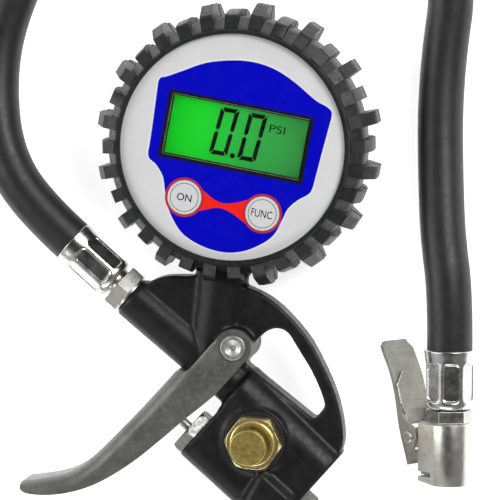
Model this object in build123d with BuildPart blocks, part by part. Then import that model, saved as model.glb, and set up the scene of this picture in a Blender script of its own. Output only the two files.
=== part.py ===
from build123d import *
import os
from math import sin, cos, tan, radians, degrees, atan2, hypot, pi

# ---------------------------------------------------------------------------
# Hand inflator gun with a digital gauge in a tyre-shaped boot, a short hose
# and a lever-clip chuck.  The tool lies on its back: +Z is the dial's normal,
# +Y points to twelve o'clock of the dial.  The origin is the middle of the
# flat back of the gauge.  All sizes in millimetres.
# ---------------------------------------------------------------------------

# gauge
GAUGE_DEPTH = 30.0        # back of the gauge to the boot's front lip
DIAL_Z = 28.6             # face of the dial plate
DIAL_R = 34.2             # visible dial
CASE_R = 35.8
CASE_WALL = 2.0
BOOT_BASE_R = 39.0        # tread between the lugs
LONG_LUG_R = 43.4
SHORT_LUG_R = 41.2
LUG_PAIRS = 16            # sixteen long and sixteen short lugs
LUG_WIDTH = 3.9
LCD_C = (0.45, 3.3)       # middle of the display
LCD_SIZE = (43.6, 19.6)
BUTTON_R = 5.2
BUTTON_ON_C = (-11.5, -17.7)
BUTTON_FUNC_C = (12.7, -17.9)
BUTTON_TRAVEL = 0.5

# gun, measured in a frame laid along the barrel: s along it, t across it
GUN_ANGLE = -31.0
GUN_ORIGIN = (-24.1, -51.9, 15.0)
BARREL_R = 6.95            # front end
CHAMBER_R = 7.8           # collar round the valve
BLOCK_S0 = 43.7           # front face of the valve block
BLOCK_S1 = 80.5           # rear face
VALVE_T = -18.5           # valve axis below the barrel axis
BLOCK_HALF = 8.4          # half thickness of the slab
BLOCK_EDGE_T = -25.8      # lower edge of the slab
WEB_HALF = 4.5            # half thickness of web and guard
PIVOT = (11.1, -60.1)     # trigger pivot in plan
LEVER_HALF = 10.5         # half width of the trigger channel
LEVER_SHEET = 1.7
BLEED_C = (22.8, -87.0)   # release valve axis in plan
BLEED_TOP = 24.3          # top of its boss
STEM_R = 1.5
NECK_LEAN = 3.45          # the neck's axis passes the dial's middle and leans by this much

# hose and chuck
HOSE_R = 6.9
HOSE_BORE_R = 3.4
HOSE_FLOOR_Z = 7.0
CHUCK_ORIGIN = (75.333, -48.036, 19.8)   # hose end of the chuck ferrule
CHUCK_ANGLE = -79.5
CHUCK_ROLL = 38.0         # the thumb lever points down and away by this much
CHUCK_LEVER_HALF = 6.3
CHUCK_SHEET = 1.2

RUN = 0.05                # running clearance on the radius

os.makedirs("parts", exist_ok=True)

# frames --------------------------------------------------------------------
GU = (cos(radians(GUN_ANGLE)), sin(radians(GUN_ANGLE)), 0.0)
GN = (-GU[1], GU[0], 0.0)
GUN = Plane(origin=GUN_ORIGIN, x_dir=GU, z_dir=(0, 0, 1))


def gun_point(s, t, z=0.0):
    return tuple(GUN_ORIGIN[i] + s * GU[i] + t * GN[i] + (z if i == 2 else 0.0) for i in range(3))


def along_gun(s, t, z=0.0):
    """Plane square to the barrel at s, t; its normal runs towards the rear face."""
    return Plane(origin=gun_point(s, t, z), x_dir=GN, z_dir=GU)


ND = (sin(radians(NECK_LEAN)), -cos(radians(NECK_LEAN)), 0.0)
NX = (-ND[1], ND[0], 0.0)


def along_neck(d, out=True):
    """Plane square to the neck at the distance d from the dial's axis."""
    return Plane(origin=(d * ND[0], d * ND[1], 15.0), x_dir=NX, z_dir=ND if out else (-ND[0], -ND[1], 0.0))


CA = (cos(radians(CHUCK_ANGLE)), sin(radians(CHUCK_ANGLE)), 0.0)
CR = (-CA[1], CA[0], 0.0)
CW = (-cos(radians(CHUCK_ROLL)) * CR[0], -cos(radians(CHUCK_ROLL)) * CR[1], -sin(radians(CHUCK_ROLL)))
CV = (-sin(radians(CHUCK_ROLL)) * CR[0], -sin(radians(CHUCK_ROLL)) * CR[1], cos(radians(CHUCK_ROLL)))
CHUCK = Plane(origin=CHUCK_ORIGIN, x_dir=CA, z_dir=(-CV[0], -CV[1], -CV[2]))


def chuck_point(s, w, v=0.0):
    return tuple(CHUCK_ORIGIN[i] + s * CA[i] + w * CW[i] + v * CV[i] for i in range(3))


def along_chuck(s, w=0.0, v=0.0):
    """Plane square to the chuck axis; x runs towards the lever side."""
    return Plane(origin=chuck_point(s, w, v), x_dir=CW, z_dir=CA)


def save(builder, name):
    builder.part.label = name
    export_step(builder.part, "parts/%s.step" % name)


# ---------------------------------------------------------------------------
# body: one die casting
# ---------------------------------------------------------------------------
web_outer = [(-19.3, -47.0), (-16.0, -44.5), (-11.5, -43.0), (-6.9, -42.2), (0.0, -41.0), (6.0, -41.3),
             (10.5, -41.9), (19.5, -44.5), (26.8, -49.0), (32.6, -53.9), (37.9, -60.2), (43.2, -67.9),
             (46.7, -75.2), (48.7, -81.6)]
window_line = [(15.4, -61.0), (16.7, -57.9), (19.3, -54.2), (22.3, -52.5), (25.2, -52.8), (28.6, -55.9),
               (33.5, -61.2), (38.0, -67.0), (41.3, -72.9)]
handle_shape = [
    # t, s0, s1, half thickness, corner radius
    (-12.2, 65.4, 79.2, 11.0, 2.3),
    (-17.0, 66.3, 79.8, 11.2, 2.6),
    (-22.0, 67.0, 80.3, 11.5, 3.4),
    (-27.0, 67.6, 80.9, 11.8, 4.6),
    (-33.0, 68.4, 82.8, 12.2, 6.2),
    (-41.0, 69.6, 87.6, 12.8, 8.2),
    (-52.0, 71.3, 93.5, 13.7, 10.0),
    (-70.0, 75.0, 99.9, 14.9, 10.9),
    (-92.0, 80.3, 105.2, 14.9, 10.8),
    (-126.0, 89.0, 111.6, 13.6, 9.6),
]


def handle_section(t):
    """Smooth values between the measured heights of the handle."""
    rows = handle_shape
    i = max(k for k in range(len(rows) - 1) if rows[k][0] >= t - 1e-9)
    h = rows[i + 1][0] - rows[i][0]
    u = (t - rows[i][0]) / h
    result = []
    for c in range(1, 5):
        def slope(k):
            if k == 0 or k == len(rows) - 1:
                j = min(k, len(rows) - 2)
                return (rows[j + 1][c] - rows[j][c]) / (rows[j + 1][0] - rows[j][0])
            return (rows[k + 1][c] - rows[k - 1][c]) / (rows[k + 1][0] - rows[k - 1][0])
        p0, p1, m0, m1 = rows[i][c], rows[i + 1][c], slope(i) * h, slope(i + 1) * h
        result.append((2 * u ** 3 - 3 * u ** 2 + 1) * p0 + (u ** 3 - 2 * u ** 2 + u) * m0
                      + (3 * u ** 2 - 2 * u ** 3) * p1 + (u ** 3 - u ** 2) * m1)
    return result


handle_axis = (97.0 - 74.2, -112.0 + 28.0)
handle_len = hypot(*handle_axis)
HX = (handle_axis[0] / handle_len, handle_axis[1] / handle_len)
HD = tuple(HX[0] * GU[i] + HX[1] * GN[i] for i in range(3))
HANDLE_END = (96.8, -112.0)

with BuildPart() as handle_blank:
    for k in range(16):
        t = -12.2 - 7.58 * k
        s0, s1, b, r = handle_section(t)
        with BuildSketch(Plane(origin=gun_point((s0 + s1) / 2, t), x_dir=GU, z_dir=(-GN[0], -GN[1], 0))):
            RectangleRounded(s1 - s0, 2 * b, r)
    loft()

with BuildPart() as handle_ramp:
    for (t, s0, s1, b, r) in ((-9.9, 66.6, 77.6, 8.3, 1.0), (-12.2, 65.4, 79.2, 11.0, 2.3)):
        with BuildSketch(Plane(origin=gun_point((s0 + s1) / 2, t), x_dir=GU, z_dir=(-GN[0], -GN[1], 0))):
            RectangleRounded(s1 - s0, 2 * b, r)
    loft()

with BuildPart() as body:
    # barrel: a rounded front edge, then a taper that rises towards the block
    with BuildSketch(along_gun(0, 0)):
        Circle(BARREL_R - 0.85)
    with BuildSketch(along_gun(0.8, 0)):
        Circle(BARREL_R)
    loft()
    with BuildSketch(along_gun(0.8, 0)):
        Circle(BARREL_R)
    with BuildSketch(along_gun(44.5, 1.42)):
        Circle(7.0)
    loft()
    with BuildSketch(along_gun(43.2, 0.6)):
        Circle(9.2)
    with BuildSketch(along_gun(BLOCK_S1, 0.2)):
        Circle(8.5)
    loft()
    # valve block: a rounded slab with a low collar round the valve
    with BuildSketch(along_gun(BLOCK_S0, (BLOCK_EDGE_T + 4.0) / 2)):
        RectangleRounded(4.0 - BLOCK_EDGE_T, 2 * BLOCK_HALF, 6.2)
    extrude(amount=BLOCK_S1 - BLOCK_S0)
    with BuildSketch(along_gun(BLOCK_S0, VALVE_T)):
        Circle(CHAMBER_R)
    extrude(amount=7.6)
    # neck down from the gauge
    with BuildSketch(along_neck(36.35)):
        Circle(8.3)
    with BuildSketch(along_neck(67.5)):
        Circle(7.6)
    loft()
    # web and guard loop
    with BuildSketch(Plane.XY.offset(15 - WEB_HALF)):
        with BuildLine():
            Spline(*web_outer)
            Line(web_outer[-1], (48.9, -84.0))
            Line((48.9, -84.0), (47.3, -88.0))
            Line((47.3, -88.0), (43.0, -90.0))
            Line((43.0, -90.0), (-17.8, -54.8))
            Line((-17.8, -54.8), web_outer[0])
        make_face()
        with BuildLine():
            Spline(*window_line)
            Line(window_line[-1], (38.9, -77.6))
            Line((38.9, -77.6), (13.6, -64.3))
            Line((13.6, -64.3), window_line[0])
        make_face(mode=Mode.SUBTRACT)
    extrude(amount=2 * WEB_HALF)
    # pivot boss for the trigger
    with BuildSketch(Plane.XY.offset(15 - 8.6)):
        with Locations(PIVOT):
            Circle(5.6)
    extrude(amount=17.2)
    # boss for the release valve
    with BuildSketch(Plane.XY.offset(16)):
        with Locations(BLEED_C):
            Circle(10.2)
    extrude(amount=BLEED_TOP - 16)
    add(handle_blank.part)
    add(handle_ramp.part)
    with BuildSketch(Plane(origin=gun_point(*HANDLE_END), x_dir=(0, 0, 1), z_dir=HD)):
        Rectangle(60, 60)
    extrude(amount=40, mode=Mode.SUBTRACT)
    # flats on the barrel between the trigger's cheeks
    for z in (8.55, -8.55 - 6.0):
        with BuildSketch(GUN.offset(z)):
            with Locations((29.6, 2.0)):
                Rectangle(27.2, 26.0)
        extrude(amount=6.0, mode=Mode.SUBTRACT)
    # spot face for the rear plug
    with BuildSketch(along_gun(BLOCK_S1, VALVE_T)):
        Circle(11.4)
    extrude(amount=7.5, mode=Mode.SUBTRACT)

    # bores
    with BuildSketch(along_gun(0, 0)):
        Circle(5.05)
    extrude(amount=10, mode=Mode.SUBTRACT)
    with BuildSketch(along_gun(0, 0)):
        Circle(3.5)
    extrude(amount=62, mode=Mode.SUBTRACT)
    with BuildSketch(along_gun(BLOCK_S0, VALVE_T)):
        Circle(5.05)
    extrude(amount=6.5, mode=Mode.SUBTRACT)
    with BuildSketch(along_gun(BLOCK_S0, VALVE_T)):
        Circle(3.0)
    extrude(amount=13, mode=Mode.SUBTRACT)
    with BuildSketch(along_gun(56, VALVE_T)):
        Circle(5.6)
    extrude(amount=30, mode=Mode.SUBTRACT)
    with BuildSketch(Plane(origin=gun_point(53, -1), x_dir=GU, z_dir=(-GN[0], -GN[1], 0))):
        Circle(1.9)
    extrude(amount=18, mode=Mode.SUBTRACT)
    with BuildSketch(Plane.XY.offset(11.6)):
        with Locations(BLEED_C):
            Circle(5.0)
    extrude(amount=20, mode=Mode.SUBTRACT)
    with BuildSketch(along_neck(36.0)):
        Circle(2.5)
    extrude(amount=31, mode=Mode.SUBTRACT)
    with BuildSketch(along_neck(36.0)):
        Circle(4.9)
    extrude(amount=11.85, mode=Mode.SUBTRACT)
    with BuildSketch(Plane.XY.offset(0)):
        with Locations(PIVOT):
            Circle(2.5 + RUN)
    extrude(amount=30, mode=Mode.SUBTRACT)
    # air way through the handle, wide below and narrow under the plug
    with BuildSketch(Plane(origin=gun_point(*HANDLE_END), x_dir=(0, 0, 1), z_dir=(-HD[0], -HD[1], 0))):
        Circle(7.6)
    extrude(amount=62, mode=Mode.SUBTRACT)
    with BuildSketch(Plane(origin=gun_point(*HANDLE_END), x_dir=(0, 0, 1), z_dir=(-HD[0], -HD[1], 0))):
        Circle(3.0)
    extrude(amount=handle_len + 4, mode=Mode.SUBTRACT)
save(body, "body")

# ---------------------------------------------------------------------------
# trigger: stamped channel, rivet, stem and its seals
# ---------------------------------------------------------------------------
# the web's outer line, run on past the notch and the tip
lever_left = [(2.0, -58.0), (-2.6, -66.2), (-6.4, -72.9), (-9.7, -78.3), (-14.7, -86.2), (-21.2, -96.0), (-26.3, -103.0),
              (-31.7, -108.2), (-37.6, -111.3), (-44.4, -113.7), (-52.0, -116.2)]
inner_left = [(3.4, -58.9), (-1.2, -67.1), (-5.0, -73.9), (-8.2, -79.2), (-13.2, -87.1), (-19.8, -96.9), (-25.0, -104.1),
              (-30.8, -109.6), (-37.0, -112.8), (-43.9, -115.2), (-51.5, -117.7)]
lever_right = [(-42.3, -117.2), (-37.0, -116.4), (-32.2, -114.9), (-24.8, -111.2), (-17.4, -105.4),
               (-8.5, -95.9), (-1.6, -87.2), (6.9, -77.1), (8.3, -75.3)]


def fold_edges(part, x0, x1):
    return part.edges().filter_by(lambda e: e.length > 60 and x0 < e.center().X < x1 and e.bounding_box().size.Z < 0.1)


with BuildPart() as channel_core:
    with BuildSketch(Plane.XY.offset(15 - LEVER_HALF + LEVER_SHEET)):
        with BuildLine():
            Spline(*inner_left)
            Polyline(inner_left[-1], (-51.5, -135.0), (30.0, -135.0), (30.0, -50.0), (-2.0, -50.0), inner_left[0])
        make_face()
    extrude(amount=2 * (LEVER_HALF - LEVER_SHEET))
    fillet(fold_edges(channel_core, -30, -10), 2.8)

with BuildPart() as trigger_lever:
    with BuildSketch(Plane.XY.offset(15 - LEVER_HALF)):
        with BuildLine():
            Spline(*lever_left)
            Polyline(lever_left[-1], (-52.0, -135.0), (30.0, -135.0), (30.0, -58.0), lever_left[0])
        make_face()
    extrude(amount=2 * LEVER_HALF)
    fillet(fold_edges(trigger_lever, -30, -10), 4.4)
    add(channel_core.part, mode=Mode.SUBTRACT)
    # stamped outline of the flanges and the tip
    with BuildSketch(Plane.XY.offset(15 - LEVER_HALF)):
        with BuildLine():
            Line((6.3, -57.2), (-0.85, -69.1))
            Spline((-0.85, -69.1), (-1.75, -70.0), (-3.2, -70.6), (-5.0, -71.3), (-9.0, -72.9), tangents=[(-0.515, -0.857), (-0.92, -0.39)])
            Polyline((-9.0, -72.9), (-60.0, -90.0), (-60.0, -113.0), (-45.0, -113.4))
            Spline((-45.0, -113.4), (-46.1, -115.6), lever_right[0], tangents=[(-0.9, -0.5), (0.95, 0.05)])
            Spline(*lever_right)
            Line(lever_right[-1], (15.8, -62.9))
            Line((15.8, -62.9), (6.3, -57.2))
        make_face()
    extrude(amount=2 * LEVER_HALF, mode=Mode.INTERSECT)
    # the web stops below the barrel
    with BuildSketch(along_gun(0, 0)):
        Circle(7.7)
        with Locations((4, 0)):
            Rectangle(8, 15.4)
    extrude(amount=60, mode=Mode.SUBTRACT)
    for z in (15 - LEVER_HALF, 15 + LEVER_HALF - LEVER_SHEET):
        with BuildSketch(Plane.XY.offset(z)):
            with Locations(PIVOT):
                Circle(5.6)
        extrude(amount=LEVER_SHEET)
    with BuildSketch(Plane.XY.offset(0)):
        with Locations(PIVOT):
            Circle(2.5)
    extrude(amount=30, mode=Mode.SUBTRACT)
save(trigger_lever, "trigger_lever")

with BuildPart() as trigger_pin:
    with BuildSketch(Plane.XY.offset(15 - LEVER_HALF)):
        with Locations(PIVOT):
            Circle(2.5)
    extrude(amount=2 * LEVER_HALF)
    with BuildSketch(Plane.XY.offset(15 + LEVER_HALF)):
        with Locations(PIVOT):
            Circle(3.9)
    extrude(amount=1.1, taper=8)
    with BuildSketch(Plane.XY.offset(15 - LEVER_HALF - 1.1)):
        with Locations(PIVOT):
            Circle(3.5)
    extrude(amount=1.1)
    # shallow clench dish
    with BuildSketch(Plane.XY.offset(15 + LEVER_HALF + 0.55)):
        with Locations(PIVOT):
            Circle(1.0)
    extrude(amount=0.6, taper=-70, mode=Mode.SUBTRACT)
save(trigger_pin, "trigger_pin")

STEM_TIP = 27.8
with BuildPart() as valve_stem:
    with BuildSketch(along_gun(STEM_TIP + 1.1, VALVE_T)):
        Circle(STEM_R)
    extrude(amount=64 - STEM_TIP - 1.1)
    with Locations(gun_point(STEM_TIP + 1.5, VALVE_T)):
        Sphere(STEM_R)
    with BuildSketch(along_gun(57.7, VALVE_T)):
        Circle(4.4)
    extrude(amount=1.5)
save(valve_stem, "valve_stem")

with BuildPart() as valve_washer:
    with BuildSketch(along_gun(56.15, VALVE_T)):
        Circle(4.6)
        Circle(STEM_R, mode=Mode.SUBTRACT)
    extrude(amount=1.55)
save(valve_washer, "valve_washer")


with BuildPart() as valve_spring:
    turns = Helix(pitch=2.7, height=18.6, radius=3.1, center=gun_point(59.8, VALVE_T), direction=GU)
    with BuildSketch(Plane(origin=turns @ 0, z_dir=turns % 0)):
        Circle(0.42)
    sweep(path=turns, is_frenet=True)
save(valve_spring, "valve_spring")

with BuildPart() as gland_nut:
    with BuildSketch(along_gun(40.4, VALVE_T)):
        RegularPolygon(13.4 / 2, 6, major_radius=False, rotation=30)
    extrude(amount=BLOCK_S0 - 40.4)
    with BuildSketch(along_gun(40.4, VALVE_T)):
        Circle(7.0)
    extrude(amount=9.5, taper=-30, mode=Mode.INTERSECT)
    with BuildSketch(along_gun(BLOCK_S0 - 0.5, VALVE_T)):
        Circle(5.0)
    extrude(amount=5.5)
    with BuildSketch(along_gun(30, VALVE_T)):
        Circle(STEM_R + RUN)
    extrude(amount=30, mode=Mode.SUBTRACT)
save(gland_nut, "gland_nut")

with BuildPart() as gland_oring:
    with BuildSketch(Plane(origin=gun_point(49.3, VALVE_T), x_dir=GN, z_dir=(0, 0, 1))):
        with Locations((STEM_R + RUN + 0.62, 0)):
            Circle(0.55)
    revolve(axis=Axis(gun_point(49.3, VALVE_T), GU))
save(gland_oring, "gland_oring")

with BuildPart() as valve_plug:
    with BuildSketch(along_gun(BLOCK_S1, VALVE_T)):
        RegularPolygon(19 / 2, 6, major_radius=False, rotation=0)
    extrude(amount=5.8)
    with BuildSketch(along_gun(BLOCK_S1 + 5.8, VALVE_T)):
        Circle(9.6)
    extrude(amount=-5.8, taper=-30, mode=Mode.INTERSECT)
    with BuildSketch(along_gun(BLOCK_S1 + 0.2, VALVE_T)):
        Circle(5.55)
    extrude(amount=-5.7)
    with BuildSketch(along_gun(74, VALVE_T)):
        Circle(4.3)
    extrude(amount=10, mode=Mode.SUBTRACT)
save(valve_plug, "valve_plug")

with BuildPart() as plug_oring:
    with BuildSketch(Plane(origin=gun_point(74.2, VALVE_T), x_dir=GN, z_dir=(0, 0, 1))):
        with Locations((4.95, 0)):
            Circle(0.55)
    revolve(axis=Axis(gun_point(74.2, VALVE_T), GU))
save(plug_oring, "plug_oring")

# ---------------------------------------------------------------------------
# release valve on the block's front
# ---------------------------------------------------------------------------
HEX_TOP = 30.2
with BuildPart() as bleed_washer:
    with BuildSketch(Plane.XY.offset(BLEED_TOP)):
        with Locations(BLEED_C):
            Circle(9.3)
            Circle(5.05, mode=Mode.SUBTRACT)
    extrude(amount=1.1)
save(bleed_washer, "bleed_washer")

with BuildPart() as bleed_body:
    with BuildSketch(Plane.XY.offset(BLEED_TOP + 1.1)):
        with Locations(BLEED_C):
            RegularPolygon(15.5 / 2, 6, major_radius=False, rotation=5)
    extrude(amount=HEX_TOP - BLEED_TOP - 1.1)
    with BuildSketch(Plane.XY.offset(HEX_TOP)):
        with Locations(BLEED_C):
            Circle(8.0)
    extrude(amount=-6, taper=-32, mode=Mode.INTERSECT)
    with BuildSketch(Plane.XY.offset(HEX_TOP - 0.2)):
        with Locations(BLEED_C):
            Circle(6.8)
    extrude(amount=1.0, taper=14)
    with BuildSketch(Plane.XY.offset(17.0)):
        with Locations(BLEED_C):
            Circle(4.95)
    extrude(amount=8.6)
    with BuildSketch(Plane.XY.offset(10)):
        with Locations(BLEED_C):
            Circle(2.5 + RUN)
    extrude(amount=30, mode=Mode.SUBTRACT)
    with BuildSketch(Plane.XY.offset(26.2)):
        with Locations(BLEED_C):
            Circle(5.7)
    extrude(amount=10, mode=Mode.SUBTRACT)
save(bleed_body, "bleed_body")

with BuildPart() as bleed_button:
    with BuildSketch(Plane.XY.offset(15.2)):
        with Locations(BLEED_C):
            Circle(2.5)
    extrude(amount=20)
    with BuildSketch(Plane.XY.offset(30.2)):
        with Locations(BLEED_C):
            Circle(4.1)
    extrude(amount=7.6)
    with BuildSketch(Plane.XY.offset(37.4)):
        with Locations(BLEED_C):
            Circle(5.5)
    extrude(amount=2.6)
    fillet(bleed_button.edges().group_by(Axis.Z)[-1], 0.45)
save(bleed_button, "bleed_button")

with BuildPart() as bleed_seal:
    with BuildSketch(Plane.XY.offset(15.3)):
        with Locations(BLEED_C):
            Circle(3.6)
            Circle(2.5, mode=Mode.SUBTRACT)
    extrude(amount=1.6)
save(bleed_seal, "bleed_seal")

with BuildPart() as bleed_spring:
    turns = Helix(pitch=1.28, height=3.2, radius=3.4, center=(BLEED_C[0], BLEED_C[1], 26.6), direction=(0, 0, 1))
    with BuildSketch(Plane(origin=turns @ 0, z_dir=turns % 0)):
        Circle(0.35)
    sweep(path=turns, is_frenet=True)
save(bleed_spring, "bleed_spring")

# ---------------------------------------------------------------------------
# air inlet at the handle's end
# ---------------------------------------------------------------------------
END_OUT = Plane(origin=gun_point(*HANDLE_END), x_dir=(0, 0, 1), z_dir=HD)
with BuildPart() as inlet_fitting:
    with BuildSketch(END_OUT):
        RegularPolygon(19 / 2, 6, major_radius=False)
    extrude(amount=7)
    with BuildSketch(END_OUT.offset(7)):
        Circle(9.7)
    extrude(amount=-7, taper=-30, mode=Mode.INTERSECT)
    with BuildSketch(END_OUT.offset(0.2)):
        Circle(7.55)
    extrude(amount=-16)
    with BuildSketch(END_OUT.offset(7)):
        Circle(5.9)
    extrude(amount=-12, mode=Mode.SUBTRACT)
    with BuildSketch(END_OUT.offset(7)):
        Circle(4.0)
    extrude(amount=-40, mode=Mode.SUBTRACT)
save(inlet_fitting, "inlet_fitting")

# ---------------------------------------------------------------------------
# hose set
# ---------------------------------------------------------------------------
GUN_FERRULE_S = (-24.5, -6.4)


def ferrule_outline(l, r_mouth, r_body, r_nose, bore, nose_bore):
    """Half section of a crimped sleeve: x along its length, y the radius."""
    return [(0, bore), (0, r_mouth), (1.0, r_mouth), (2.2, r_body), (l - 2.6, r_body), (l - 0.9, r_body - 0.5),
            (l, r_nose), (l, nose_bore), (l - 1.7, nose_bore), (l - 1.7, bore), (0, bore)]


with BuildPart() as gun_ferrule:
    with BuildSketch(Plane(origin=gun_point(GUN_FERRULE_S[0], 0), x_dir=GU, z_dir=(0, 0, 1))):
        with BuildLine():
            Polyline(*ferrule_outline(18.1, 7.1, 6.75, 5.4, 5.55, 3.35))
        make_face()
    revolve(axis=Axis(gun_point(0, 0), GU))
    for k in range(7):
        a = radians(360 / 7 * k + 90)
        d = (cos(a) * GN[0], cos(a) * GN[1], sin(a))
        with BuildSketch(Plane(origin=tuple(gun_point(GUN_FERRULE_S[0] + 10.15, 0)[i] + 6.12 * d[i] for i in range(3)), x_dir=GU, z_dir=d)):
            RectangleRounded(11.3, 5.5, 1.4)
        extrude(amount=2, mode=Mode.SUBTRACT)
save(gun_ferrule, "gun_ferrule")

with BuildPart() as hose_fitting:
    with BuildSketch(along_gun(-5.0, 0)):
        RegularPolygon(13.2 / 2, 6, major_radius=False, rotation=21)
    extrude(amount=4.4)
    with BuildSketch(along_gun(-0.7, 0)):
        Circle(6.2)
    extrude(amount=0.7)
    with BuildSketch(along_gun(-0.3, 0)):
        Circle(5.0)
    extrude(amount=9)
    with BuildSketch(along_gun(-22.5, 0)):
        Circle(3.3)
    extrude(amount=18)
    with BuildSketch(along_gun(-6.4, 0)):
        Circle(4.6)
    extrude(amount=1.6)
    with BuildSketch(along_gun(-30, 0)):
        Circle(2.0)
    extrude(amount=50, mode=Mode.SUBTRACT)
save(hose_fitting, "hose_fitting")

with BuildPart() as chuck_ferrule:
    with BuildSketch(CHUCK):
        with BuildLine():
            Polyline(*ferrule_outline(18.0, 7.75, 7.35, 5.7, 5.55, 3.35))
        make_face()
    revolve(axis=Axis(CHUCK_ORIGIN, CA))
    for k in range(7):
        a = radians(360 / 7 * k + 34.5)
        d = tuple(cos(a) * CW[i] + sin(a) * CV[i] for i in range(3))
        with BuildSketch(Plane(origin=tuple(chuck_point(9.75, 0)[i] + 6.7 * d[i] for i in range(3)), x_dir=CA, z_dir=d)):
            RectangleRounded(11.5, 5.8, 1.9)
        extrude(amount=2, mode=Mode.SUBTRACT)
save(chuck_ferrule, "chuck_ferrule")

route = [gun_point(GUN_FERRULE_S[0], 0), gun_point(GUN_FERRULE_S[0] - 17.8, 0), (-72.2, -16.5, 13.3), (-78.4, 1.5, 9.8), (-80.0, 19.4, 7.6),
         (-75.8, 40.8, HOSE_FLOOR_Z), (-67.8, 62.9, HOSE_FLOOR_Z), (-55.4, 82.8, HOSE_FLOOR_Z), (-38.1, 98.4, HOSE_FLOOR_Z),
         (-16.4, 106.9, HOSE_FLOOR_Z), (7.1, 106.4, HOSE_FLOOR_Z), (28.6, 97.2, HOSE_FLOOR_Z), (45.4, 80.7, HOSE_FLOOR_Z),
         (54.6, 59.3, HOSE_FLOOR_Z), (55.6, 38.5, 7.4), (58.0, 20.5, 9.2), (62.0, 2.5, 12.2), (66.4, -15.0, 16.2),
         chuck_point(-17.0, 0), chuck_point(0, 0)]
vecs = [Vector(*p) for p in route]
radii = []
for i in range(1, len(vecs) - 1):
    a = vecs[i] - vecs[i - 1]
    b = vecs[i + 1] - vecs[i]
    turn = a.get_angle(b)
    radii.append(0.45 * min(a.length, b.length) / tan(radians(turn / 2)))
print("hose radii", [round(r, 1) for r in radii])
print("hose runs", [round((vecs[i + 1] - vecs[i]).length, 1) for i in range(len(vecs) - 1)])

with BuildPart() as hose:
    with BuildLine() as hose_path:
        FilletPolyline(*route, radius=radii)
    with BuildSketch(Plane(origin=hose_path.line @ 0, z_dir=hose_path.line % 0)):
        Circle(HOSE_R)
        Circle(HOSE_BORE_R, mode=Mode.SUBTRACT)
    sweep(path=hose_path.line)
    # the ends squeezed inside the ferrules, round the barbs
    with BuildSketch(along_gun(GUN_FERRULE_S[0], 0)):
        Circle(5.5)
        Circle(HOSE_BORE_R, mode=Mode.SUBTRACT)
    extrude(amount=15.8)
    with BuildSketch(along_chuck(0)):
        Circle(5.5)
        Circle(HOSE_BORE_R, mode=Mode.SUBTRACT)
    extrude(amount=15.8)
save(hose, "hose")
hose_length = sum(e.length for e in hose_path.edges())
print("hose free length", round(hose_length, 1), "volume/section", round(hose.part.volume / (pi * (HOSE_R ** 2 - HOSE_BORE_R ** 2)), 1))

# ---------------------------------------------------------------------------
# chuck
# ---------------------------------------------------------------------------
with BuildPart() as chuck_stem:
    with BuildSketch(Plane(origin=chuck_point(18.2, 0), x_dir=(0, 0, 1), z_dir=CA)):
        RegularPolygon(13.0 / 2, 6, major_radius=False, rotation=19)
    extrude(amount=3.7)
    with BuildSketch(along_chuck(1.8)):
        Circle(3.3)
    extrude(amount=17)
    with BuildSketch(along_chuck(21.7)):
        Circle(4.5)
    extrude(amount=9.1)
    with BuildSketch(along_chuck(0)):
        Circle(1.8)
    extrude(amount=40, mode=Mode.SUBTRACT)
    # seat for the foot of the depressor
    with BuildSketch(along_chuck(29.5)):
        Circle(2.2)
    extrude(amount=3, mode=Mode.SUBTRACT)
save(chuck_stem, "chuck_stem")

CHUCK_S0 = 21.9
CHUCK_S1 = 41.0
CHUCK_PIN = (27.2, 11.2)
with BuildPart() as chuck_body:
    with BuildSketch(along_chuck(CHUCK_S0)):
        Circle(6.8)
        with Locations((3.45, 0)):
            RectangleRounded(7.3, 13.6, 0.9)
        with Locations((2.0, 0)):
            Rectangle(4.0, 13.6)
    extrude(amount=CHUCK_S1 - CHUCK_S0)
    # lug that carries the lever's pin
    with BuildSketch(CHUCK.offset(-3.7)):
        with BuildLine():
            Polyline((23.8, 6.0), (24.6, 11.2), (25.6, 13.0), (27.4, 13.7), (29.2, 12.9), (30.3, 11.0), (31.8, 6.0), (23.8, 6.0))
        make_face()
    extrude(amount=7.4)
    # slanted lower corner
    with BuildSketch(CHUCK.offset(-10)):
        with BuildLine():
            Polyline((39.6, 8.5), (39.85, 7.1), (41.05, -0.4), (43.0, -0.4), (43.0, 8.5), (39.6, 8.5))
        make_face()
    extrude(amount=20, mode=Mode.SUBTRACT)
    chamfer(chuck_body.faces().filter_by(lambda f: abs((f.center() - Vector(*chuck_point(CHUCK_S0, 0))).dot(Vector(*CA))) < 0.01).edges(), 0.7)
    # slot for the clip
    with BuildSketch(CHUCK.offset(-10)):
        with Locations((37.85, 7.2)):
            Rectangle(1.5, 11.6)
    extrude(amount=20, mode=Mode.SUBTRACT)
    with BuildSketch(CHUCK.offset(-2.0)):
        with Locations(CHUCK_PIN):
            Circle(1.4 + RUN)
    extrude(amount=30, both=True, mode=Mode.SUBTRACT)
    with BuildSketch(along_chuck(21)):
        Circle(4.55)
    extrude(amount=9.8, mode=Mode.SUBTRACT)
    with BuildSketch(along_chuck(30.8)):
        Circle(4.6)
    extrude(amount=2.7, mode=Mode.SUBTRACT)
    with BuildSketch(along_chuck(30.8)):
        Circle(4.3)
    extrude(amount=6, mode=Mode.SUBTRACT)
    with BuildSketch(along_chuck(36.5)):
        Circle(4.5)
    extrude(amount=10, mode=Mode.SUBTRACT)
save(chuck_body, "chuck_body")

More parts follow.
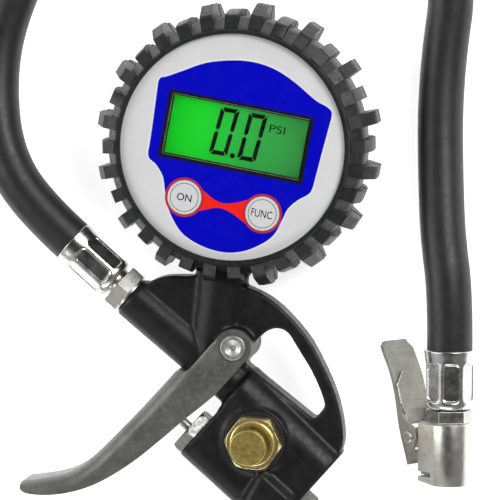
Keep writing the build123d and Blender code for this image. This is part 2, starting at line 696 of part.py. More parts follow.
lever_web_out = [(-0.5, 23.9), (0.5, 23.4), (3.5, 21.9), (5.9, 20.5), (8.2, 19.4), (10.9, 18.3), (13.8, 17.4), (17.2, 16.6), (21.0, 15.9),
                 (24.4, 15.2), (30.6, 13.2), (35.8, 11.5)]
lever_web_in = [(35.4, 10.35), (30.2, 12.05), (24.1, 14.05), (20.8, 14.75), (17.0, 15.4), (13.5, 16.2), (10.5, 17.1), (7.7, 18.3), (5.3, 19.5),
                (2.9, 20.85), (0.0, 22.3), (-1.0, 22.8)]
ear = [(18.6, 16.0), (20.0, 14.4), (21.6, 13.3), (22.6, 12.3), (23.4, 10.8), (24.7, 8.4), (25.6, 7.8), (27.2, 7.8), (29.0, 8.6), (31.0, 9.4), (34.9, 10.6),
       (35.5, 11.3), (30.6, 13.0), (24.4, 15.0), (21.0, 15.7), (18.6, 16.1), (18.6, 16.0)]
with BuildPart() as chuck_lever:
    with BuildSketch(CHUCK.offset(-CHUCK_LEVER_HALF)):
        with BuildLine():
            Spline(*lever_web_out)
            Line(lever_web_out[-1], lever_web_in[0])
            Spline(*lever_web_in)
            Line(lever_web_in[-1], lever_web_out[0])
        make_face()
    extrude(amount=2 * CHUCK_LEVER_HALF)
    # window in the web for the pin lug
    with BuildSketch(CHUCK.offset(-5.08)):
        with Locations((27.8, 14)):
            Rectangle(7.6, 8)
    extrude(amount=10.16, mode=Mode.SUBTRACT)
    # rounded corners of the thumb tab
    with BuildSketch(Plane(origin=chuck_point(0, 12, 0), x_dir=CA, z_dir=CW)):
        with BuildLine():
            Polyline((-3.0, 4.9), (-0.9, 4.9), (-0.3, 5.2), (0.2, 5.7), (0.4, 6.3), (0.4, 7.0), (-3.0, 7.0), (-3.0, 4.9))
        make_face()
        with BuildLine():
            Polyline((-3.0, -4.3), (-0.9, -4.3), (-0.1, -4.7), (0.6, -5.3), (1.3, -6.0), (2.2, -6.5), (2.2, -7.0), (-3.0, -7.0), (-3.0, -4.3))
        make_face()
    extrude(amount=20, mode=Mode.SUBTRACT)
    for side in (-CHUCK_LEVER_HALF, CHUCK_LEVER_HALF - CHUCK_SHEET):
        with BuildSketch(CHUCK.offset(side)):
            with BuildLine():
                Polyline(*ear)
            make_face()
        extrude(amount=CHUCK_SHEET)
    with BuildSketch(CHUCK.offset(-10)):
        with Locations(CHUCK_PIN):
            Circle(1.4)
    extrude(amount=20, mode=Mode.SUBTRACT)
save(chuck_lever, "chuck_lever")

with BuildPart() as chuck_pin:
    with BuildSketch(CHUCK.offset(-CHUCK_LEVER_HALF)):
        with Locations(CHUCK_PIN):
            Circle(1.4)
    extrude(amount=2 * CHUCK_LEVER_HALF)
    with BuildSketch(CHUCK.offset(-CHUCK_LEVER_HALF)):
        with Locations(CHUCK_PIN):
            Circle(1.8)
    extrude(amount=-0.6)
    with BuildSketch(CHUCK.offset(CHUCK_LEVER_HALF)):
        with Locations(CHUCK_PIN):
            Circle(1.8)
    extrude(amount=0.6)
    fillet(chuck_pin.edges().sort_by(Axis(CHUCK_ORIGIN, CV))[-1], 0.4)
save(chuck_pin, "chuck_pin")

with BuildPart() as chuck_jaw:
    with BuildSketch(along_chuck(37.17)):
        with Locations((5.95, 0)):
            RectangleRounded(5.9, 7.2, 0.8)
        Circle(4.5, mode=Mode.SUBTRACT)
    extrude(amount=1.36)
save(chuck_jaw, "chuck_jaw")

with BuildPart() as chuck_seal:
    with BuildSketch(along_chuck(30.8)):
        Circle(4.6)
        Circle(2.3, mode=Mode.SUBTRACT)
    extrude(amount=2.0)
save(chuck_seal, "chuck_seal")

with BuildPart() as chuck_depressor:
    with BuildSketch(along_chuck(29.5)):
        Circle(2.2)
        with PolarLocations(1.45, 3):
            Circle(0.45, mode=Mode.SUBTRACT)
    extrude(amount=1.2)
    with BuildSketch(along_chuck(30.6)):
        Circle(0.9)
    extrude(amount=2.8)
save(chuck_depressor, "chuck_depressor")

# closing spring: one coil round the pin and a leg laid along the lever
leg_line = [chuck_point(27.2, 13.2, 4.5), chuck_point(22.6, 13.4, 4.55), chuck_point(20.6, 13.95, 4.75), chuck_point(17.4, 14.7, 5.8),
            chuck_point(11.5, 16.25, 6.0), chuck_point(7.9, 17.6, 2.6)]
with BuildPart() as chuck_spring:
    turns = Helix(pitch=0.62, height=0.62, radius=2.05, center=chuck_point(CHUCK_PIN[0], CHUCK_PIN[1], 4.1), direction=CV)
    with BuildSketch(Plane(origin=turns @ 0, z_dir=turns % 0)):
        Circle(0.25)
    sweep(path=turns, is_frenet=True)
    with BuildLine() as leg_path:
        FilletPolyline(*leg_line, radius=0.7)
    with BuildSketch(Plane(origin=leg_path.line @ 0, z_dir=leg_path.line % 0)):
        Circle(0.26)
    sweep(path=leg_path.line)
save(chuck_spring, "chuck_spring")

# ---------------------------------------------------------------------------
# gauge
# ---------------------------------------------------------------------------
boot_half = [(34.2, 30.0), (35.4, 30.0), (35.9, 29.2), (36.4, 28.0), (38.4, 23.2), (39.0, 22.0), (39.0, 8.0),
             (38.4, 6.6), (36.6, 1.4), (36.0, 0.0), (30.4, 0.0), (30.4, 2.1), (CASE_R + 0.05, 2.1), (CASE_R + 0.05, 28.65),
             (34.2, 28.65), (34.2, 30.0)]


def lug_solid_profile(r):
    """Side view of a lug: x the radius, y the height."""
    a = r - 41.2
    return [(35.9, 29.3), (36.3, 29.2), (39.6, 27.8), (40.0 + 0.14 * a, 27.1), (40.6 + 0.5 * a, 23.6), (41.0 + 0.9 * a, 20.2), (r, 18.5),
            (r, 12.2), (r - 0.5, 11.6), (38.2, 11.4), (38.2, 22.0), (36.0, 27.6), (35.9, 29.3)]


def rear_lug_profile(r):
    return [(38.2, 10.0), (r - 0.5, 9.9), (r, 9.3), (r, 6.6), (r - 0.4, 5.8), (39.6, 2.0), (38.6, 1.5), (36.9, 1.5), (38.2, 7.0), (38.2, 10.0)]


with BuildPart() as rubber_boot:
    with BuildSketch(Plane.XZ):
        with BuildLine():
            Polyline(*boot_half)
        make_face()
    revolve(axis=Axis.Z)
    for k in range(LUG_PAIRS):
        for (r, a, w) in ((LONG_LUG_R, 22.5 * k, LUG_WIDTH), (SHORT_LUG_R, 22.5 * k + 11.25, LUG_WIDTH)):
            ra = radians(a)
            for prof in (lug_solid_profile(r), rear_lug_profile(r - 0.3)):
                with BuildSketch(Plane(origin=(sin(ra) * w / 2, -cos(ra) * w / 2, 0), x_dir=(cos(ra), sin(ra), 0), z_dir=(sin(ra), -cos(ra), 0))):
                    with BuildLine():
                        Polyline(*prof)
                    make_face()
                extrude(amount=-w)
    # way out for the neck and the web beside it
    with BuildSketch(along_neck(33.0)):
        Circle(8.6)
    extrude(amount=14, mode=Mode.SUBTRACT)
    with BuildSketch(Plane(origin=(0.2, -40.4, 15), x_dir=(1, 0, 0), z_dir=(0, -1, 0))):
        Rectangle(40, 2 * WEB_HALF + 0.6)
    extrude(amount=6, mode=Mode.SUBTRACT)
save(rubber_boot, "rubber_boot")

SCREWS = [(20.4, 18.0), (-20.4, 18.0), (-20.4, -18.0), (20.4, -18.0)]
CELL_R = 5.2
with BuildPart() as gauge_case:
    with BuildSketch(Plane.XY.offset(2.2)):
        Circle(CASE_R)
    extrude(amount=26 - 2.2)
    with BuildSketch(Plane.XY):
        Circle(30.2)
    extrude(amount=2.2)
    with BuildSketch(Plane.XY.offset(2.4)):
        Circle(CASE_R - CASE_WALL)
    extrude(amount=30, mode=Mode.SUBTRACT)
    # battery bay, open to the back
    with BuildSketch(Plane.XY.offset(2.3)):
        Rectangle(55, 26)
    extrude(amount=14.1)
    with BuildSketch(Plane.XY):
        Rectangle(52, 23)
    extrude(amount=14.9, mode=Mode.SUBTRACT)
    # screw columns
    with BuildSketch(Plane.XY.offset(0.5)):
        with Locations(*SCREWS):
            Circle(3.0)
    extrude(amount=17.4)
    with BuildSketch(Plane.XY.offset(-0.5)):
        with Locations(*SCREWS):
            Circle(2.7)
    extrude(amount=2.4, mode=Mode.SUBTRACT)
    with BuildSketch(Plane.XY.offset(-1)):
        with Locations(*SCREWS):
            Circle(1.45)
    extrude(amount=28, mode=Mode.SUBTRACT)
    # seat and hole of the door's screw
    with BuildSketch(Plane.XY):
        with Locations((0, 15.6)):
            Circle(3.0)
    extrude(amount=6)
    with BuildSketch(Plane.XY):
        with Locations((0, 15.6)):
            Circle(1.0)
    extrude(amount=5.2, mode=Mode.SUBTRACT)
    with BuildSketch(Plane.XY):
        Rectangle(53.4, 24.4)
        with Locations((0, 15.0)):
            RectangleRounded(9, 7.4, 2)
    extrude(amount=1.4, mode=Mode.SUBTRACT)
    # stem hole
    with BuildSketch(along_neck(30.0)):
        Circle(4.9)
    extrude(amount=10, mode=Mode.SUBTRACT)
save(gauge_case, "gauge_case")

with BuildPart() as battery_door:
    with BuildSketch(Plane.XY):
        Rectangle(53.1, 24.1)
        with Locations((0, 14.9)):
            RectangleRounded(8.7, 7.2, 2)
        with Locations((0, 15.6)):
            Circle(1.15, mode=Mode.SUBTRACT)
    extrude(amount=1.35)
save(battery_door, "battery_door")

with BuildPart() as door_screw:
    with BuildSketch(Plane.XY.offset(0.25)):
        with Locations((0, 15.6)):
            Circle(0.98)
    extrude(amount=4.8)
    with BuildSketch(Plane.XY.offset(0.05)):
        with Locations((0, 15.6)):
            Circle(1.1)
    extrude(amount=1.0)
save(door_screw, "door_screw")

with BuildPart() as case_screws:
    with BuildSketch(Plane.XY.offset(0.5)):
        with Locations(*SCREWS):
            Circle(2.6)
    extrude(amount=1.35)
    with BuildSketch(Plane.XY.offset(1.8)):
        with Locations(*SCREWS):
            Circle(1.4)
    extrude(amount=23.4)
save(case_screws, "case_screws")

with BuildPart() as batteries:
    for (y, d) in ((5.75, 1), (-5.75, -1)):
        with BuildSketch(Plane(origin=(-22 * d, y, 8.3), x_dir=(0, 1, 0), z_dir=(d, 0, 0))):
            Circle(CELL_R)
        extrude(amount=43.2)
        with BuildSketch(Plane(origin=(21.1 * d, y, 8.3), x_dir=(0, 1, 0), z_dir=(d, 0, 0))):
            Circle(1.9)
        extrude(amount=1.1)
save(batteries, "batteries")

with BuildPart() as battery_contacts:
    for (x, d) in ((-26.0, 1), (26.0, -1)):
        with BuildSketch(Plane(origin=(x, 0, 8.3), x_dir=(0, 1, 0), z_dir=(d, 0, 0))):
            Rectangle(20.0, 8.0)
        extrude(amount=0.4)
    for (y, d) in ((5.75, 1), (-5.75, -1)):
        with BuildSketch(Plane(origin=(-25.7 * d, y, 8.3), x_dir=(0, 1, 0), z_dir=(d, 0, 0))):
            Circle(3.0)
            Circle(2.2, mode=Mode.SUBTRACT)
        extrude(amount=3.65)
        with BuildSketch(Plane(origin=(25.7 * d, y, 8.3), x_dir=(0, 1, 0), z_dir=(-d, 0, 0))):
            Circle(1.6)
        extrude(amount=3.45)
save(battery_contacts, "battery_contacts")

with BuildPart() as circuit_board:
    with BuildSketch(Plane.XY.offset(18.0)):
        Circle(31.0)
        with Locations((1.9, -31.0)):
            Rectangle(19, 6, mode=Mode.SUBTRACT)
        with Locations(*SCREWS):
            Circle(1.6, mode=Mode.SUBTRACT)
    extrude(amount=1.6)
save(circuit_board, "circuit_board")

with BuildPart() as backlight:
    with BuildSketch(Plane.XY.offset(19.7)):
        with Locations(LCD_C):
            Rectangle(46.6, 22.2)
    extrude(amount=4.25)
save(backlight, "backlight")

with BuildPart() as lcd_module:
    with BuildSketch(Plane.XY.offset(24.0)):
        with Locations(LCD_C):
            Rectangle(47.0, 22.6)
    extrude(amount=2.0)
save(lcd_module, "lcd_module")

with BuildPart() as lcd_window:
    with BuildSketch(Plane.XY.offset(27.4)):
        with Locations(LCD_C):
            Rectangle(LCD_SIZE[0] + 0.9, LCD_SIZE[1] + 0.9)
    extrude(amount=1.1)
save(lcd_window, "lcd_window")

with BuildPart() as dial_plate:
    with BuildSketch(Plane.XY.offset(26.0)):
        Circle(CASE_R)
    extrude(amount=DIAL_Z - 26.0)
    # rebate for the window, opening under it, holes for the buttons
    with BuildSketch(Plane.XY.offset(27.4)):
        with Locations(LCD_C):
            Rectangle(LCD_SIZE[0] + 1.0, LCD_SIZE[1] + 1.0)
    extrude(amount=5, mode=Mode.SUBTRACT)
    with BuildSketch(Plane.XY.offset(20)):
        with Locations(LCD_C):
            Rectangle(LCD_SIZE[0] - 1.2, LCD_SIZE[1] - 1.2)
        with Locations(BUTTON_ON_C, BUTTON_FUNC_C):
            Circle(BUTTON_R + RUN)
    extrude(amount=12, mode=Mode.SUBTRACT)
    # screw posts and the guide collars of the buttons
    with BuildSketch(Plane.XY.offset(19.8)):
        with Locations(*SCREWS):
            Circle(2.35)
    extrude(amount=6.4)
    with BuildSketch(Plane.XY.offset(19.0)):
        with Locations(*SCREWS):
            Circle(1.42)
    extrude(amount=6.4, mode=Mode.SUBTRACT)
    with BuildSketch(Plane.XY.offset(23.5)):
        with Locations(BUTTON_ON_C, BUTTON_FUNC_C):
            Circle(BUTTON_R + 0.9)
            Circle(BUTTON_R + RUN, mode=Mode.SUBTRACT)
    extrude(amount=2.6)
save(dial_plate, "dial_plate")

with BuildPart() as dial_label:
    with BuildSketch(Plane.XY.offset(DIAL_Z)):
        with Locations((0.5, 0)):
            Circle(31.8)
        with BuildLine():
            Polyline((-40, 40), (-40, -40), (-25.5, -40), (-24.2, -8.0), (-26.2, 15.6), (-24.0, 17.5), (-14.0, 22.4), (0.5, 26.3),
                     (14.5, 23.0), (24.6, 18.6), (28.0, 17.0), (26.4, -9.0), (27.5, -40), (40, -40), (40, 40), (-40, 40))
        make_face(mode=Mode.SUBTRACT)
        with BuildLine():
            Polyline((-40, -8.0), (-24.2, -8.0), (-19.4, -13.2), (-17.6, -20.0), (-15.4, -28.4), (-15.4, -40), (-40, -40), (-40, -8.0))
        make_face(mode=Mode.SUBTRACT)
        with BuildLine():
            Polyline((40, -9.0), (26.4, -9.0), (21.2, -12.4), (19.2, -19.8), (15.8, -27.6), (15.8, -40), (40, -40), (40, -9.0))
        make_face(mode=Mode.SUBTRACT)
        with Locations(BUTTON_ON_C, BUTTON_FUNC_C):
            Circle(6.3)
        with Locations(LCD_C):
            Rectangle(LCD_SIZE[0] + 1.0, LCD_SIZE[1] + 1.0, mode=Mode.SUBTRACT)
        with Locations(BUTTON_ON_C, BUTTON_FUNC_C):
            Circle(BUTTON_R + RUN, mode=Mode.SUBTRACT)
    extrude(amount=0.15)
save(dial_label, "dial_label")

for (name, c) in (("button_on", BUTTON_ON_C), ("button_func", BUTTON_FUNC_C)):
    with BuildPart() as button:
        with BuildSketch(Plane.XY.offset(25.0)):
            with Locations(c):
                Circle(BUTTON_R)
        extrude(amount=4.1)
        with BuildSketch(Plane.XY.offset(23.75)):
            with Locations(c):
                Circle(1.6)
        extrude(amount=1.4)
        fillet(button.edges().group_by(Axis.Z)[-1], 0.35)
    save(button, name)

with BuildPart() as tact_switches:
    with BuildSketch(Plane.XY.offset(19.65)):
        with Locations(BUTTON_ON_C, BUTTON_FUNC_C):
            Rectangle(6.0, 6.0)
    extrude(amount=2.6)
    with BuildSketch(Plane.XY.offset(22.2)):
        with Locations(BUTTON_ON_C, BUTTON_FUNC_C):
            Circle(1.6)
    extrude(amount=0.9)
save(tact_switches, "tact_switches")

with BuildPart() as gauge_stem:
    with BuildSketch(along_neck(46.6, out=False)):
        Circle(4.8)
    extrude(amount=15)
    with BuildSketch(along_neck(32.5, out=False)):
        RegularPolygon(7.0, 6, major_radius=False)
    extrude(amount=2.9)
    with BuildSketch(along_neck(50.0, out=False)):
        Circle(1.5)
    extrude(amount=30, mode=Mode.SUBTRACT)
save(gauge_stem, "gauge_stem")

with BuildPart() as pressure_sensor:
    with BuildSketch(along_neck(29.6, out=False)):
        RectangleRounded(12.0, 5.2, 1.0)
    extrude(amount=9.0)
save(pressure_sensor, "pressure_sensor")

with BuildPart() as stem_oring:
    with BuildSketch(Plane(origin=along_neck(47.2).origin, x_dir=NX, z_dir=(0, 0, 1))):
        with Locations((4.2, 0)):
            Circle(0.55)
    revolve(axis=Axis((0, 0, 15), ND))
save(stem_oring, "stem_oring")
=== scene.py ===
import bpy
import bmesh
from math import sin, cos, tan, radians, pi, sqrt, hypot, atan2
from mathutils import Vector, Matrix


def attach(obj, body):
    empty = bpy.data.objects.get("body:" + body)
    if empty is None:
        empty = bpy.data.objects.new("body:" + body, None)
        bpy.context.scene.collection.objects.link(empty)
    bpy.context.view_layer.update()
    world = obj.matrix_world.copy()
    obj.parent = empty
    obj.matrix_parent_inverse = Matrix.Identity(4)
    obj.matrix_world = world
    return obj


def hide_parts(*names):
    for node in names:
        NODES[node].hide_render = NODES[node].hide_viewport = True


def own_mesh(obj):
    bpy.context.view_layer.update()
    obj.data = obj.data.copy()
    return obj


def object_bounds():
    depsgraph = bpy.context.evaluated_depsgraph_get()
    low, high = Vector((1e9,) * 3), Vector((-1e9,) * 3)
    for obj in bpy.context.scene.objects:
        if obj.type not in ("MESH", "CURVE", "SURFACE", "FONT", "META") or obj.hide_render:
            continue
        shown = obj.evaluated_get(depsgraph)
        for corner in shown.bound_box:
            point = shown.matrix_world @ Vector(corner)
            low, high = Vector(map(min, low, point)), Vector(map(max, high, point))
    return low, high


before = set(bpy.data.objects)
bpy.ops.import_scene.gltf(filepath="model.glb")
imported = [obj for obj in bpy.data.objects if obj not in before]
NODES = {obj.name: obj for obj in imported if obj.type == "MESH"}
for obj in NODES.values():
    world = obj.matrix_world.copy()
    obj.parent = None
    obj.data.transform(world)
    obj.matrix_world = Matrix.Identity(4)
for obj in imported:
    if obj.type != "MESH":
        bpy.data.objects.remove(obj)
CAD_BOX = [list(c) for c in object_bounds()]
MM = 0.001
COL = bpy.context.scene.collection


# ---------------------------------------------------------------------------
# frames shared with the CAD source (mm)
# ---------------------------------------------------------------------------
GA = radians(-31.0)
GO = (-24.1, -51.9, 15.0)
GU = (cos(GA), sin(GA), 0.0)
GN = (-GU[1], GU[0], 0.0)


def gun_point(s, t, z=0.0):
    return tuple(GO[i] + s * GU[i] + t * GN[i] + (z if i == 2 else 0.0) for i in range(3))


CAA = radians(-79.5)
CO = (75.333, -48.036, 19.8)
CA = (cos(CAA), sin(CAA), 0.0)
CR = (-CA[1], CA[0], 0.0)
CROLL = radians(38.0)
CW = (-cos(CROLL) * CR[0], -cos(CROLL) * CR[1], -sin(CROLL))
CV = (-sin(CROLL) * CR[0], -sin(CROLL) * CR[1], cos(CROLL))


def chuck_point(s, w, v=0.0):
    return tuple(CO[i] + s * CA[i] + w * CW[i] + v * CV[i] for i in range(3))


def m(p):
    return tuple(c * MM for c in p)


# ---------------------------------------------------------------------------
# mesh helpers
# ---------------------------------------------------------------------------
def link(o):
    COL.objects.link(o)
    return o


def from_bm(bm, name, mat=None, smooth=True, angle=35):
    me = bpy.data.meshes.new(name)
    bmesh.ops.recalc_face_normals(bm, faces=bm.faces)
    bm.to_mesh(me)
    bm.free()
    o = link(bpy.data.objects.new(name, me))
    if mat:
        me.materials.append(mat)
    if smooth:
        me.shade_auto_smooth(angle) if hasattr(me, "shade_auto_smooth") else [setattr(p, "use_smooth", True) for p in me.polygons]
    return o


def smooth_by_angle(me, angle=35.0):
    """Smooth faces with creases kept sharp above the angle."""
    bm = bmesh.new()
    bm.from_mesh(me)
    for f in bm.faces:
        f.smooth = True
    for e in bm.edges:
        e.smooth = not (len(e.link_faces) == 2 and e.calc_face_angle(0.0) > radians(angle))
    bm.to_mesh(me)
    bm.free()


def finish_cad(name, bevel=0.3, angle=32, segments=2, planar=True):
    """Soft edges on a carried-over CAD node, by modifiers only."""
    o = NODES[name]
    w = o.modifiers.new("weld", "WELD")
    w.merge_threshold = 2e-6
    if planar:
        d = o.modifiers.new("planar", "DECIMATE")
        d.decimate_type = "DISSOLVE"
        d.angle_limit = radians(0.6)
    if bevel:
        b = o.modifiers.new("bevel", "BEVEL")
        b.width = bevel * MM
        b.segments = segments
        b.limit_method = "ANGLE"
        b.angle_limit = radians(angle)
        b.use_clamp_overlap = True
        b.harden_normals = False
        b.miter_outer = "MITER_ARC"
    return o


def paint(mat, *names):
    for n in names:
        o = NODES[n]
        o.data.materials.clear()
        o.data.materials.append(mat)


def prism(outline, z0, z1, name, mat, holes=()):
    """Flat plate with the given outline in mm, between two heights, holes included."""
    c = bpy.data.curves.new(name + "_c", "CURVE")
    c.dimensions = "2D"
    c.fill_mode = "BOTH"
    for ring in (outline,) + tuple(holes):
        sp = c.splines.new("POLY")
        sp.points.add(len(ring) - 1)
        for k, (x, y) in enumerate(ring):
            sp.points[k].co = (x * MM, y * MM, 0, 1)
        sp.use_cyclic_u = True
    c.extrude = (z1 - z0) / 2 * MM
    tmp = bpy.data.objects.new(name + "_t", c)
    link(tmp)
    tmp.location = (0, 0, (z0 + z1) / 2 * MM)
    dg = bpy.context.evaluated_depsgraph_get()
    me = bpy.data.meshes.new_from_object(tmp.evaluated_get(dg))
    me.transform(Matrix.Translation((0, 0, (z0 + z1) / 2 * MM)))
    bpy.data.objects.remove(tmp)
    me.name = name
    me.materials.clear()
    if mat:
        me.materials.append(mat)
    o = link(bpy.data.objects.new(name, me))
    return o


def circle(cx, cy, r, n=72):
    return [(cx + r * cos(2 * pi * k / n), cy + r * sin(2 * pi * k / n)) for k in range(n)]


def smooth_ring(points, per=6):
    """Closed Catmull-Rom line through points."""
    out = []
    n = len(points)
    for i in range(n):
        p0, p1, p2, p3 = points[i - 1], points[i], points[(i + 1) % n], points[(i + 2) % n]
        for k in range(per):
            u = k / per
            out.append(tuple(0.5 * (2 * p1[j] + (p2[j] - p0[j]) * u + (2 * p0[j] - 5 * p1[j] + 4 * p2[j] - p3[j]) * u * u
                                    + (3 * p1[j] - p0[j] - 3 * p2[j] + p3[j]) * u ** 3) for j in range(2)))
    return out


# ---------------------------------------------------------------------------
# material helpers
# ---------------------------------------------------------------------------
class Mat:
    def __init__(self, name, base=(0.5, 0.5, 0.5), rough=0.5, metal=0.0, spec=0.5, coat=0.0, coat_rough=0.1):
        self.m = bpy.data.materials.new(name)
        self.m.use_nodes = True
        self.nt = self.m.node_tree
        self.nt.nodes.clear()
        self.out = self.nt.nodes.new("ShaderNodeOutputMaterial")
        self.b = self.nt.nodes.new("ShaderNodeBsdfPrincipled")
        self.nt.links.new(self.b.outputs[0], self.out.inputs[0])
        self.b.inputs["Base Color"].default_value = (*base, 1)
        self.b.inputs["Roughness"].default_value = rough
        self.b.inputs["Metallic"].default_value = metal
        self.b.inputs["Specular IOR Level"].default_value = spec
        self.b.inputs["Coat Weight"].default_value = coat
        self.b.inputs["Coat Roughness"].default_value = coat_rough
        self.tc = self.nt.nodes.new("ShaderNodeTexCoord")
        self.last = None

    def node(self, kind, **kw):
        n = self.nt.nodes.new(kind)
        for k, v in kw.items():
            setattr(n, k, v)
        return n

    def link(self, a, b):
        self.nt.links.new(a, b)

    def noise(self, scale, detail=3.0, rough=0.5, stretch=None, w=0.0, distort=0.0):
        n = self.node("ShaderNodeTexNoise")
        n.inputs["Scale"].default_value = scale
        n.inputs["Detail"].default_value = detail
        n.inputs["Roughness"].default_value = rough
        n.inputs["Distortion"].default_value = distort
        src = self.tc.outputs["Object"]
        if stretch or w:
            mp = self.node("ShaderNodeMapping")
            mp.inputs["Scale"].default_value = stretch or (1, 1, 1)
            mp.inputs["Location"].default_value = (w, w * 0.7, w * 0.3)
            self.link(src, mp.inputs["Vector"])
            src = mp.outputs["Vector"]
        self.link(src, n.inputs["Vector"])
        return n.outputs["Fac"]

    def voronoi(self, scale, feature="F1", out="Distance"):
        n = self.node("ShaderNodeTexVoronoi")
        n.feature = feature
        n.inputs["Scale"].default_value = scale
        self.link(self.tc.outputs["Object"], n.inputs["Vector"])
        return n.outputs[out]

    def ramp(self, fac, stops):
        r = self.node("ShaderNodeValToRGB")
        e = r.color_ramp.elements
        while len(e) > 2:
            e.remove(e[-1])
        e[0].position, e[0].color = stops[0][0], (*stops[0][1], 1)
        e[1].position, e[1].color = stops[-1][0], (*stops[-1][1], 1)
        for p, c in stops[1:-1]:
            x = e.new(p)
            x.color = (*c, 1)
        self.link(fac, r.inputs["Fac"])
        return r.outputs["Color"]

    def range(self, fac, a, b, lo, hi, clamp=True):
        r = self.node("ShaderNodeMapRange")
        r.clamp = clamp
        for k, v in (("From Min", a), ("From Max", b), ("To Min", lo), ("To Max", hi)):
            r.inputs[k].default_value = v
        self.link(fac, r.inputs["Value"])
        return r.outputs["Result"]

    def mix(self, fac, a, b, mode="MIX"):
        x = self.node("ShaderNodeMix", data_type="RGBA", blend_type=mode)
        if isinstance(fac, float):
            x.inputs["Factor"].default_value = fac
        else:
            self.link(fac, x.inputs["Factor"])
        for key, val in (("A", a), ("B", b)):
            sock = [s for s in x.inputs if s.name == key and s.type == "RGBA"][0]
            if isinstance(val, tuple):
                sock.default_value = (*val, 1)
            else:
                self.link(val, sock)
        return [s for s in x.outputs if s.type == "RGBA"][0]

    def math(self, op, a, b=None):
        x = self.node("ShaderNodeMath", operation=op)
        for i, v in enumerate((a, b)):
            if v is None:
                continue
            if isinstance(v, (int, float)):
                x.inputs[i].default_value = v
            else:
                self.link(v, x.inputs[i])
        return x.outputs[0]

    def color(self, sock):
        self.link(sock, self.b.inputs["Base Color"])
        return self

    def roughness(self, sock):
        self.link(sock, self.b.inputs["Roughness"])
        return self

    def bump(self, height, strength=0.3, distance=0.0002):
        x = self.node("ShaderNodeBump")
        x.inputs["Strength"].default_value = strength
        x.inputs["Distance"].default_value = distance
        self.link(height, x.inputs["Height"])
        if self.last:
            self.link(self.last, x.inputs["Normal"])
        self.last = x.outputs["Normal"]
        self.link(self.last, self.b.inputs["Normal"])
        return self

    def xyz(self):
        s = self.node("ShaderNodeSeparateXYZ")
        self.link(self.tc.outputs["Object"], s.inputs[0])
        return s.outputs


def turned(k, cx, cy, pitch=9000.0, strength=0.12, distance=0.00004):
    """Fine rings left by the tool, round an upright axis."""
    x, y, z = k.xyz()
    dx = k.math("SUBTRACT", x, cx * MM)
    dy = k.math("SUBTRACT", y, cy * MM)
    r = k.math("SQRT", k.math("ADD", k.math("MULTIPLY", dx, dx), k.math("MULTIPLY", dy, dy)))
    k.bump(k.math("SINE", k.math("MULTIPLY", r, pitch)), strength, distance)


def rubber(name, dark, light, rough=(0.5, 0.68), grain=2600, patch=260, bump=0.25, spec=0.5):
    k = Mat(name, dark, rough[0], spec=spec)
    a = k.noise(patch, 4, 0.6)
    k.color(k.ramp(a, [(0.3, dark), (0.7, light)]))
    k.roughness(k.range(k.noise(patch * 2.3, 3), 0.3, 0.7, *rough))
    k.bump(k.noise(grain, 2, 0.6), bump, 0.00006)
    return k


def plated(name, dark, light, rough=(0.12, 0.25), patch=180, grain=5000, bump=0.06, stretch=None, metal=1.0):
    k = Mat(name, light, rough[0], metal)
    k.color(k.ramp(k.noise(patch, 5, 0.6), [(0.3, dark), (0.7, light)]))
    k.roughness(k.range(k.noise(patch * 1.7, 4, 0.6, w=3.1), 0.3, 0.7, *rough))
    k.bump(k.noise(grain, 3, 0.6, stretch=stretch), bump, 0.00003)
    return k


boot_rubber = rubber("boot_rubber", (0.0075, 0.0078, 0.0078), (0.021, 0.0215, 0.022), (0.34, 0.52), 2400, 420, 0.4, spec=0.42)
hose_rubber = rubber("hose_rubber", (0.015, 0.015, 0.0155), (0.025, 0.025, 0.0255), (0.36, 0.50), 3500, 260, 0.28, spec=0.45)
seal_rubber = rubber("seal_rubber", (0.012, 0.012, 0.012), (0.02, 0.02, 0.02), (0.5, 0.65))
washer_rubber = rubber("washer_rubber", (0.010, 0.010, 0.011), (0.017, 0.017, 0.018), (0.35, 0.5))

casting = Mat("black_casting", (0.012, 0.012, 0.013), 0.38, spec=0.27)
casting.color(casting.ramp(casting.noise(240, 4, 0.6), [(0.3, (0.0105, 0.0105, 0.0112)), (0.7, (0.0195, 0.0195, 0.0202))]))
casting.roughness(casting.range(casting.noise(500, 4), 0.3, 0.7, 0.30, 0.46))
casting.bump(casting.noise(70, 2, 0.5), 0.10, 0.0006)
casting.bump(casting.noise(1500, 3, 0.6), 0.22, 0.00007)

lever_steel = Mat("lever_steel", (0.15, 0.15, 0.15), 0.42, 0.55)
speck = lever_steel.noise(1500, 4, 0.8)
lever_steel.color(lever_steel.mix(0.45, lever_steel.ramp(lever_steel.noise(75, 5, 0.65), [(0.3, (0.10, 0.102, 0.098)), (0.7, (0.33, 0.33, 0.32))]),
                                  lever_steel.ramp(speck, [(0.36, (0.085, 0.085, 0.084)), (0.5, (0.145, 0.145, 0.142)), (0.64, (0.25, 0.25, 0.245))])))
lever_steel.roughness(lever_steel.range(lever_steel.noise(800, 3), 0.3, 0.7, 0.30, 0.48))
lever_steel.bump(speck, 0.3, 0.00007)

